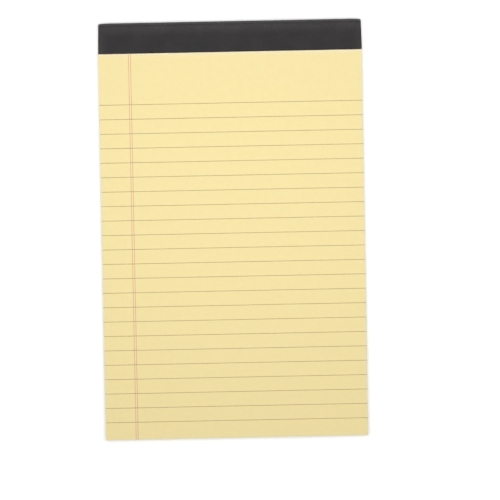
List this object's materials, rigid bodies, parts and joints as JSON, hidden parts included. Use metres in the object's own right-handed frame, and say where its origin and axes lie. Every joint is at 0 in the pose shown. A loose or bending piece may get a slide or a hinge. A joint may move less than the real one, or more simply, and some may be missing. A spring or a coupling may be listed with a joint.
{
  "type": "legal pad",
  "caption": "Top-bound writing pad: a block of ruled yellow sheets on a chipboard backing, stapled at the head under a folded black binding tape.",
  "frame": {"origin": "under the middle of the pad, in the plane that it lies on", "axes": "+X across the sheets to the reader's right, +Y from the foot towards the bound head, +Z out of the writing face"},
  "size_m": [0.127, 0.205, 0.0061],
  "materials": {
    "yellow_paper": "uncoated yellow writing paper, matte, with grey ruled lines and a double red margin line",
    "grey_chipboard": "recycled grey chipboard, matte, with fibre flecks",
    "black_tape": "black crepe-finish paper binding tape, low sheen",
    "staple_wire": "galvanised flat stitching wire"
  },
  "bodies": {
    "root": {"sheet_block": "yellow_paper", "backing_board": "grey_chipboard", "binding_tape": "black_tape", "staples": "staple_wire"}
  },
  "joints": []
}
